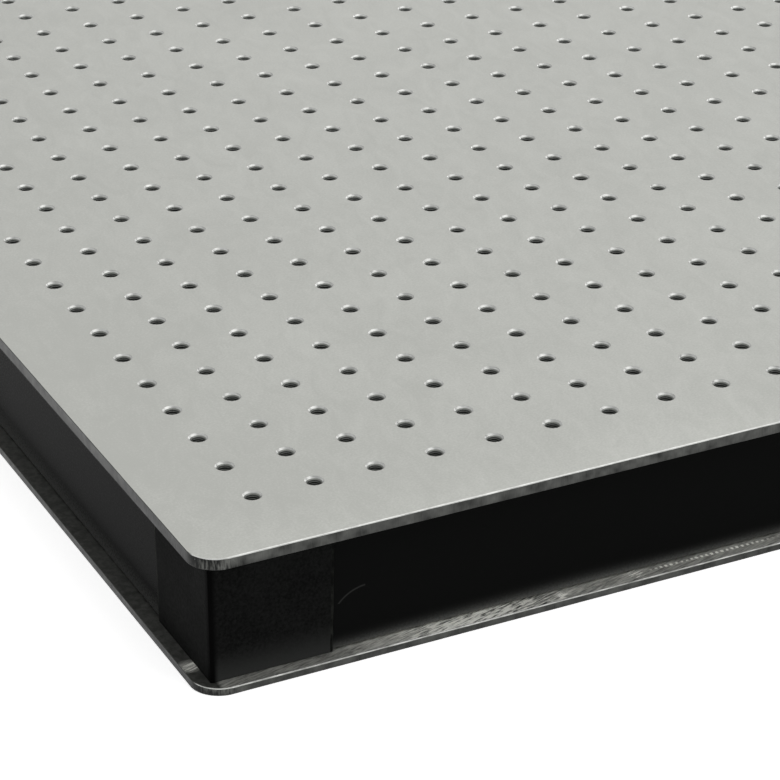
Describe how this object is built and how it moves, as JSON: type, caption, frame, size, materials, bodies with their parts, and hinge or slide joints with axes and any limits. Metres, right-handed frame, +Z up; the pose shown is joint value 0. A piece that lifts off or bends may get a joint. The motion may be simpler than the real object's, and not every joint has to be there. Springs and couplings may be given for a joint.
{
  "type": "optical breadboard",
  "caption": "Square optical breadboard: tapped stainless top skin on a steel truss core, with recessed black side panels, corner covers and a plain bottom skin.",
  "frame": {"origin": "centre of the underside, on the surface the board rests on", "axes": "+Z up out of the tapped face; +X to the right along the front edge; +Y to the back edge"},
  "size_m": [0.6, 0.6, 0.0572],
  "materials": {
    "top_skin_steel": "matt, finely sanded stainless",
    "bottom_skin_steel": "ground steel sheet",
    "side_panel_gloss_black": "gloss black",
    "corner_cover_matt_black": "matt black, fine grain",
    "core_steel": "plain steel strip"
  },
  "bodies": {
    "root": {"back_left_corner_cover": "corner_cover_matt_black", "back_right_corner_cover": "corner_cover_matt_black", "back_side_panel": "side_panel_gloss_black", "bottom_skin": "bottom_skin_steel", "core_flat_strip_01": "core_steel", "core_flat_strip_02": "core_steel", "core_flat_strip_03": "core_steel", "core_flat_strip_04": "core_steel", "core_flat_strip_05": "core_steel", "core_flat_strip_06": "core_steel", "core_flat_strip_07": "core_steel", "core_flat_strip_08": "core_steel", "core_flat_strip_09": "core_steel", "core_flat_strip_10": "core_steel", "core_flat_strip_11": "core_steel", "core_flat_strip_12": "core_steel", "core_flat_strip_13": "core_steel", "core_flat_strip_14": "core_steel", "core_flat_strip_15": "core_steel", "core_flat_strip_16": "core_steel", "core_flat_strip_17": "core_steel", "core_flat_strip_18": "core_steel", "core_flat_strip_19": "core_steel", "core_flat_strip_20": "core_steel", "core_flat_strip_21": "core_steel", "core_flat_strip_22": "core_steel", "core_flat_strip_23": "core_steel", "core_folded_strip_01": "core_steel", "core_folded_strip_02": "core_steel", "core_folded_strip_03": "core_steel", "core_folded_strip_04": "core_steel", "core_folded_strip_05": "core_steel", "core_folded_strip_06": "core_steel", "core_folded_strip_07": "core_steel", "core_folded_strip_08": "core_steel", "core_folded_strip_09": "core_steel", "core_folded_strip_10": "core_steel", "core_folded_strip_11": "core_steel", "core_folded_strip_12": "core_steel", "core_folded_strip_13": "core_steel", "core_folded_strip_14": "core_steel", "core_folded_strip_15": "core_steel", "core_folded_strip_16": "core_steel", "core_folded_strip_17": "core_steel", "core_folded_strip_18": "core_steel", "core_folded_strip_19": "core_steel", "core_folded_strip_20": "core_steel", "core_folded_strip_21": "core_steel", "core_folded_strip_22": "core_steel", "front_left_corner_cover": "corner_cover_matt_black", "front_right_corner_cover": "corner_cover_matt_black", "front_side_panel": "side_panel_gloss_black", "left_side_panel": "side_panel_gloss_black", "right_side_panel": "side_panel_gloss_black", "top_skin": "top_skin_steel"}
  },
  "joints": []
}
